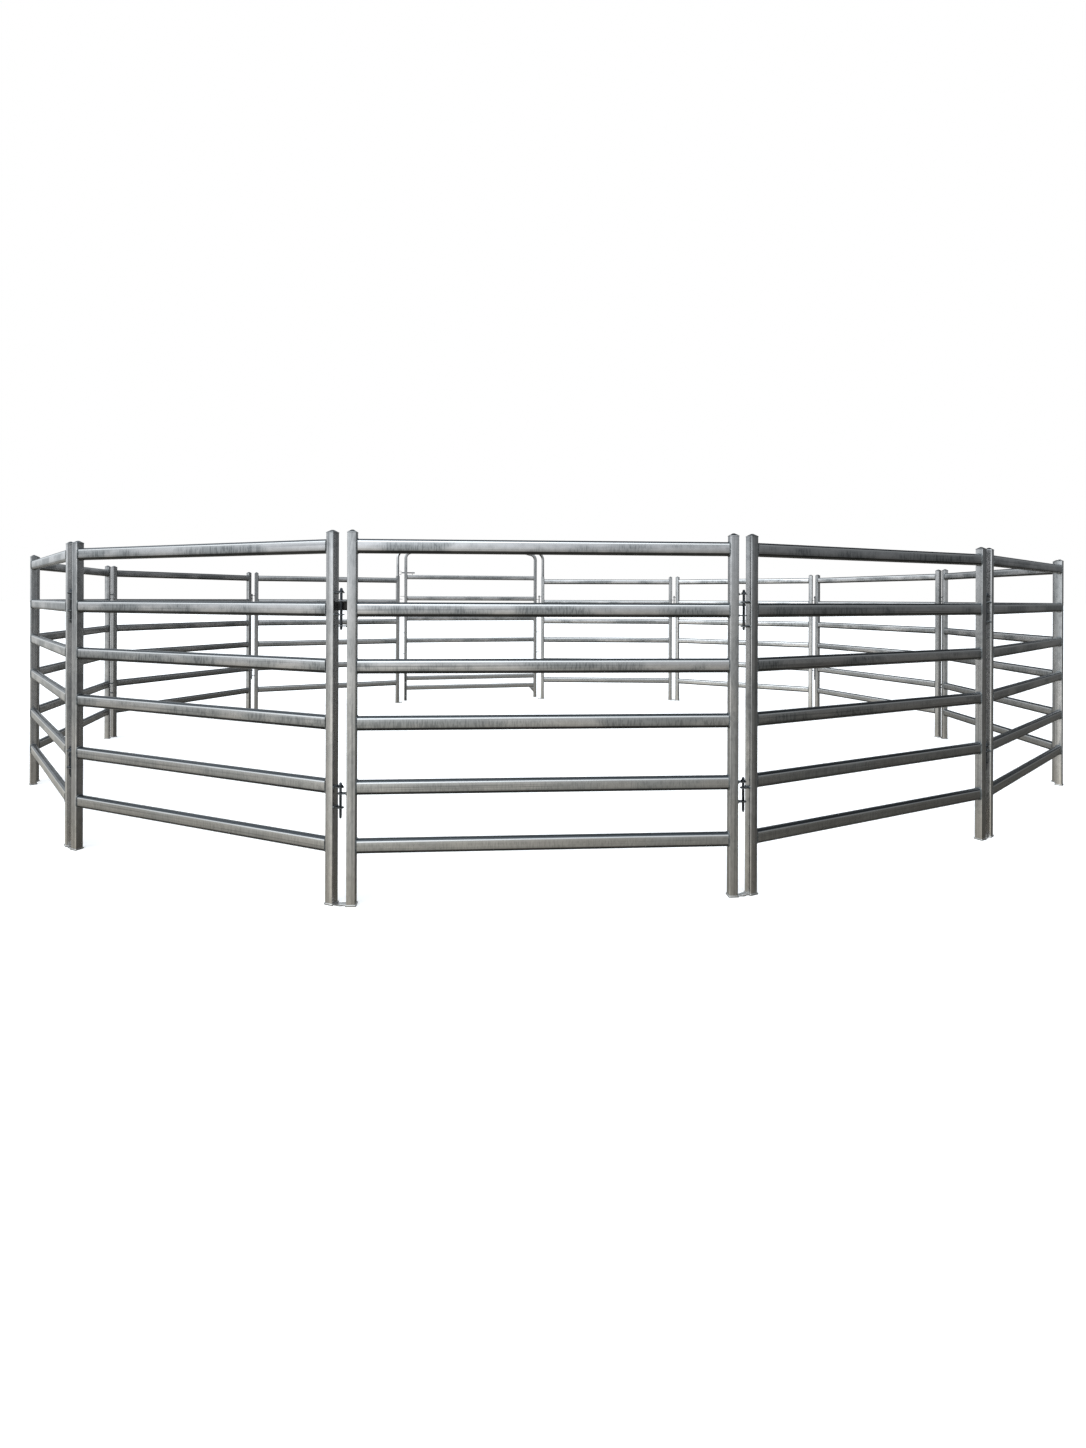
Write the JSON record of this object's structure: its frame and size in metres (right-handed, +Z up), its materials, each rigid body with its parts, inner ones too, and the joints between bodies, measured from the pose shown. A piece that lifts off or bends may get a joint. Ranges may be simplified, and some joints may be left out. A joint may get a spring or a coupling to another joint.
{
  "type": "horse round pen",
  "caption": "Free-standing ring of galvanised tube panels joined by drop pins, with a swinging gate leaf under an overhead bow, a slide bolt and a drop bolt.",
  "frame": {"origin": "on the ground, in the middle of the pen's bounding box", "axes": "+Z up; +X along the front panel, to the right as seen in the picture; +Y from the front panel across the pen towards the gate"},
  "size_m": [8.843, 7.3294, 2.2954],
  "materials": {
    "galvanised_steel": "hot-dip galvanised, satin with spangle and run marks",
    "plated_steel": "zinc plated, worn",
    "black_rubber": "matt black"
  },
  "bodies": {
    "panel_01": {"panel_01": "galvanised_steel"},
    "panel_02": {"panel_02": "galvanised_steel"},
    "panel_03": {"panel_03": "galvanised_steel"},
    "panel_04": {"panel_04": "galvanised_steel"},
    "panel_05": {"panel_05": "galvanised_steel"},
    "panel_06": {"panel_06": "galvanised_steel"},
    "panel_07": {"panel_07": "galvanised_steel"},
    "panel_08": {"panel_08": "galvanised_steel", "rubber_buffer": "black_rubber"},
    "panel_09": {"panel_09": "galvanised_steel"},
    "panel_10": {"panel_10": "galvanised_steel"},
    "panel_11": {"panel_11": "galvanised_steel"},
    "panel_12": {"panel_12": "galvanised_steel"},
    "gate_leaf": {"gate_leaf": "galvanised_steel"},
    "gate_bow": {"gate_bow": "galvanised_steel"},
    "slide_bolt": {"slide_bolt": "plated_steel"},
    "drop_bolt": {"drop_bolt": "plated_steel"},
    "upper_pin_01": {"upper_pin_01": "plated_steel"},
    "lower_pin_01": {"lower_pin_01": "plated_steel"},
    "upper_pin_02": {"upper_pin_02": "plated_steel"},
    "lower_pin_02": {"lower_pin_02": "plated_steel"},
    "upper_pin_03": {"upper_pin_03": "plated_steel"},
    "lower_pin_03": {"lower_pin_03": "plated_steel"},
    "upper_pin_04": {"upper_pin_04": "plated_steel"},
    "lower_pin_04": {"lower_pin_04": "plated_steel"},
    "upper_pin_05": {"upper_pin_05": "plated_steel"},
    "lower_pin_05": {"lower_pin_05": "plated_steel"},
    "upper_pin_06": {"upper_pin_06": "plated_steel"},
    "lower_pin_06": {"lower_pin_06": "plated_steel"},
    "upper_pin_07": {"upper_pin_07": "plated_steel"},
    "lower_pin_07": {"lower_pin_07": "plated_steel"},
    "upper_pin_08": {"upper_pin_08": "plated_steel"},
    "lower_pin_08": {"lower_pin_08": "plated_steel"},
    "upper_pin_09": {"upper_pin_09": "plated_steel"},
    "lower_pin_09": {"lower_pin_09": "plated_steel"},
    "upper_pin_10": {"upper_pin_10": "plated_steel"},
    "lower_pin_10": {"lower_pin_10": "plated_steel"},
    "upper_pin_11": {"upper_pin_11": "plated_steel"},
    "lower_pin_11": {"lower_pin_11": "plated_steel"},
    "upper_pin_12": {"upper_pin_12": "plated_steel"},
    "lower_pin_12": {"lower_pin_12": "plated_steel"}
  },
  "joints": [
    {"name": "gate_hinge", "type": "hinge", "parent": "panel_01", "child": "gate_leaf", "pos_m": [0.28816, 3.64143, 0], "axis": [0, 0, 1], "range_deg": [-110, 80]},
    {"name": "slide_bolt_slide", "type": "slide", "parent": "gate_leaf", "child": "slide_bolt", "axis": [-0.9878, -0.1558, 0], "range_m": [-0.02, 0.027]},
    {"name": "drop_bolt_slide", "type": "slide", "parent": "gate_leaf", "child": "drop_bolt", "axis": [0, 0, 1], "range_m": [-0.1, 0.04]},
    {"name": "bow_swivel", "type": "hinge", "parent": "panel_01", "child": "gate_bow", "pos_m": [0.34081, 3.63536, 0], "axis": [0, 0, 1], "range_deg": [-25, 25]},
    {"name": "corner_07_06", "type": "hinge", "parent": "panel_07", "child": "panel_06", "pos_m": [0.84266, -3.63822, 0], "axis": [0, 0, -1], "range_deg": [0, 23.5]},
    {"name": "corner_06_05", "type": "hinge", "parent": "panel_06", "child": "panel_05", "pos_m": [2.64927, -2.85269, 0], "axis": [0, 0, -1], "range_deg": [0, 16.5]},
    {"name": "corner_05_04", "type": "hinge", "parent": "panel_05", "child": "panel_04", "pos_m": [4.15838, -1.58639, 0], "axis": [0, 0, -1], "range_deg": [0, 43]},
    {"name": "corner_04_03", "type": "hinge", "parent": "panel_04", "child": "panel_03", "pos_m": [4.39846, 0.36892, 0], "axis": [0, 0, -1], "range_deg": [0, 23.5]},
    {"name": "corner_03_02", "type": "hinge", "parent": "panel_03", "child": "panel_02", "pos_m": [3.83895, 2.2578, 0], "axis": [0, 0, -1], "range_deg": [0, 37.5]},
    {"name": "corner_02_01", "type": "hinge", "parent": "panel_02", "child": "panel_01", "pos_m": [2.24519, 3.41573, 0], "axis": [0, 0, -1], "range_deg": [0, 29.42]},
    {"name": "corner_07_08", "type": "hinge", "parent": "panel_07", "child": "panel_08", "pos_m": [-1.12734, -3.63822, 0], "axis": [0, 0, 1], "range_deg": [0, 28]},
    {"name": "corner_08_09", "type": "hinge", "parent": "panel_08", "child": "panel_09", "pos_m": [-2.86675, -2.71336, 0], "axis": [0, 0, 1], "range_deg": [0, 26]},
    {"name": "corner_09_10", "type": "hinge", "parent": "panel_09", "child": "panel_10", "pos_m": [-4.02468, -1.1196, 0], "axis": [0, 0, 1], "range_deg": [0, 25]},
    {"name": "corner_10_11", "type": "hinge", "parent": "panel_10", "child": "panel_11", "pos_m": [-4.40058, 0.81421, 0], "axis": [0, 0, 1], "range_deg": [0, 38.5]},
    {"name": "corner_11_12", "type": "hinge", "parent": "panel_11", "child": "panel_12", "pos_m": [-3.49093, 2.56162, 0], "axis": [0, 0, 1], "range_deg": [0, 39.5]},
    {"name": "upper_pin_01_lift", "type": "slide", "parent": "panel_01", "child": "upper_pin_01", "axis": [0, 0, 1], "range_m": [0, 0.2]},
    {"name": "lower_pin_01_lift", "type": "slide", "parent": "panel_01", "child": "lower_pin_01", "axis": [0, 0, 1], "range_m": [0, 0.17]},
    {"name": "upper_pin_02_lift", "type": "slide", "parent": "panel_02", "child": "upper_pin_02", "axis": [0, 0, 1], "range_m": [0, 0.2]},
    {"name": "lower_pin_02_lift", "type": "slide", "parent": "panel_02", "child": "lower_pin_02", "axis": [0, 0, 1], "range_m": [0, 0.17]},
    {"name": "upper_pin_03_lift", "type": "slide", "parent": "panel_03", "child": "upper_pin_03", "axis": [0, 0, 1], "range_m": [0, 0.2]},
    {"name": "lower_pin_03_lift", "type": "slide", "parent": "panel_03", "child": "lower_pin_03", "axis": [0, 0, 1], "range_m": [0, 0.17]},
    {"name": "upper_pin_04_lift", "type": "slide", "parent": "panel_04", "child": "upper_pin_04", "axis": [0, 0, 1], "range_m": [0, 0.2]},
    {"name": "lower_pin_04_lift", "type": "slide", "parent": "panel_04", "child": "lower_pin_04", "axis": [0, 0, 1], "range_m": [0, 0.17]},
    {"name": "upper_pin_05_lift", "type": "slide", "parent": "panel_05", "child": "upper_pin_05", "axis": [0, 0, 1], "range_m": [0, 0.2]},
    {"name": "lower_pin_05_lift", "type": "slide", "parent": "panel_05", "child": "lower_pin_05", "axis": [0, 0, 1], "range_m": [0, 0.17]},
    {"name": "upper_pin_06_lift", "type": "slide", "parent": "panel_06", "child": "upper_pin_06", "axis": [0, 0, 1], "range_m": [0, 0.2]},
    {"name": "lower_pin_06_lift", "type": "slide", "parent": "panel_06", "child": "lower_pin_06", "axis": [0, 0, 1], "range_m": [0, 0.17]},
    {"name": "upper_pin_07_lift", "type": "slide", "parent": "panel_07", "child": "upper_pin_07", "axis": [0, 0, 1], "range_m": [0, 0.2]},
    {"name": "lower_pin_07_lift", "type": "slide", "parent": "panel_07", "child": "lower_pin_07", "axis": [0, 0, 1], "range_m": [0, 0.17]},
    {"name": "upper_pin_08_lift", "type": "slide", "parent": "panel_08", "child": "upper_pin_08", "axis": [0, 0, 1], "range_m": [0, 0.2]},
    {"name": "lower_pin_08_lift", "type": "slide", "parent": "panel_08", "child": "lower_pin_08", "axis": [0, 0, 1], "range_m": [0, 0.17]},
    {"name": "upper_pin_09_lift", "type": "slide", "parent": "panel_09", "child": "upper_pin_09", "axis": [0, 0, 1], "range_m": [0, 0.2]},
    {"name": "lower_pin_09_lift", "type": "slide", "parent": "panel_09", "child": "lower_pin_09", "axis": [0, 0, 1], "range_m": [0, 0.17]},
    {"name": "upper_pin_10_lift", "type": "slide", "parent": "panel_10", "child": "upper_pin_10", "axis": [0, 0, 1], "range_m": [0, 0.2]},
    {"name": "lower_pin_10_lift", "type": "slide", "parent": "panel_10", "child": "lower_pin_10", "axis": [0, 0, 1], "range_m": [0, 0.17]},
    {"name": "upper_pin_11_lift", "type": "slide", "parent": "panel_11", "child": "upper_pin_11", "axis": [0, 0, 1], "range_m": [0, 0.2]},
    {"name": "lower_pin_11_lift", "type": "slide", "parent": "panel_11", "child": "lower_pin_11", "axis": [0, 0, 1], "range_m": [0, 0.17]},
    {"name": "upper_pin_12_lift", "type": "slide", "parent": "panel_12", "child": "upper_pin_12", "axis": [0, 0, 1], "range_m": [0, 0.2]},
    {"name": "lower_pin_12_lift", "type": "slide", "parent": "panel_12", "child": "lower_pin_12", "axis": [0, 0, 1], "range_m": [0, 0.17]}
  ]
}
